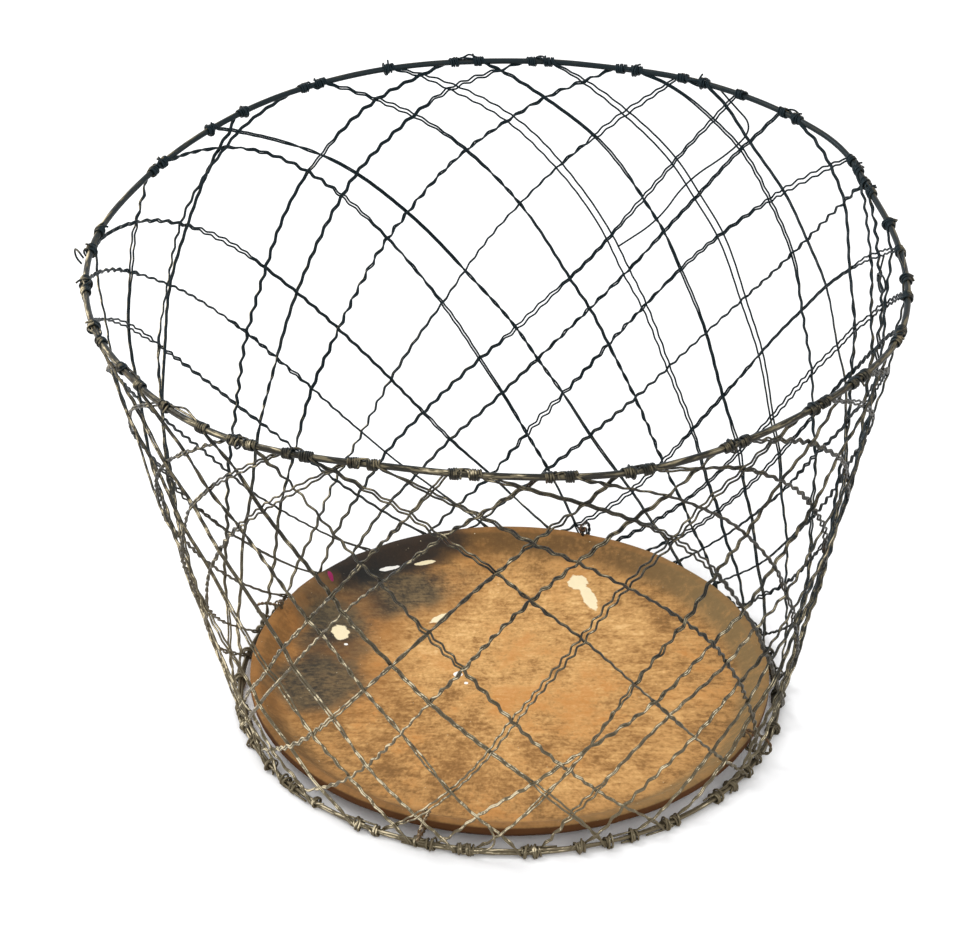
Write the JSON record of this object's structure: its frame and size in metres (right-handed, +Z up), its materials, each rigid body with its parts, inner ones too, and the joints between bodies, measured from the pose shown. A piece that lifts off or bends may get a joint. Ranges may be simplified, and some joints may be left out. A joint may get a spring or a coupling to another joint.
{
  "type": "fruit picker basket",
  "caption": "Open round wire basket, wider at the rim, with a net of crimped wire pairs between two hoops and a shallow wooden tray as its bottom.",
  "frame": {"origin": "middle of the bounding box at the height of the surface the tray rests on", "axes": "+Z up through the open rim, front of the basket towards -Y, right towards +X"},
  "size_m": [0.4589, 0.46, 0.3146],
  "materials": {
    "hoop_wire": "bare drawn steel, dulled grey-brown with age",
    "net_wire": "bare crimped steel, dark grey with brown weathering",
    "tie_wire": "rusted iron wire",
    "tray_wood": "weathered bare wood, stained and splashed with old paint"
  },
  "bodies": {
    "root": {"rim_hoop": "hoop_wire", "base_hoop": "hoop_wire", "tray": "tray_wood", "tray_ties": "tie_wire", "net_strand_right_01": "net_wire", "net_strand_right_02": "net_wire", "net_strand_right_03": "net_wire", "net_strand_right_04": "net_wire", "net_strand_right_05": "net_wire", "net_strand_right_06": "net_wire", "net_strand_right_07": "net_wire", "net_strand_right_08": "net_wire", "net_strand_right_09": "net_wire", "net_strand_right_10": "net_wire", "net_strand_right_11": "net_wire", "net_strand_right_12": "net_wire", "net_strand_right_13": "net_wire", "net_strand_right_14": "net_wire", "net_strand_right_15": "net_wire", "net_strand_right_16": "net_wire", "net_strand_right_17": "net_wire", "net_strand_right_18": "net_wire", "net_strand_right_19": "net_wire", "net_strand_right_20": "net_wire", "net_strand_right_21": "net_wire", "net_strand_right_22": "net_wire", "net_strand_right_23": "net_wire", "net_strand_right_24": "net_wire", "net_strand_right_25": "net_wire", "net_strand_right_26": "net_wire", "net_strand_right_27": "net_wire", "net_strand_right_28": "net_wire", "net_strand_left_01": "net_wire", "net_strand_left_02": "net_wire", "net_strand_left_03": "net_wire", "net_strand_left_04": "net_wire", "net_strand_left_05": "net_wire", "net_strand_left_06": "net_wire", "net_strand_left_07": "net_wire", "net_strand_left_08": "net_wire", "net_strand_left_09": "net_wire", "net_strand_left_10": "net_wire", "net_strand_left_11": "net_wire", "net_strand_left_12": "net_wire", "net_strand_left_13": "net_wire", "net_strand_left_14": "net_wire", "net_strand_left_15": "net_wire", "net_strand_left_16": "net_wire", "net_strand_left_17": "net_wire", "net_strand_left_18": "net_wire", "net_strand_left_19": "net_wire", "net_strand_left_20": "net_wire", "net_strand_left_21": "net_wire", "net_strand_left_22": "net_wire", "net_strand_left_23": "net_wire", "net_strand_left_24": "net_wire", "net_strand_left_25": "net_wire", "net_strand_left_26": "net_wire", "net_strand_left_27": "net_wire", "net_strand_left_28": "net_wire"}
  },
  "joints": []
}
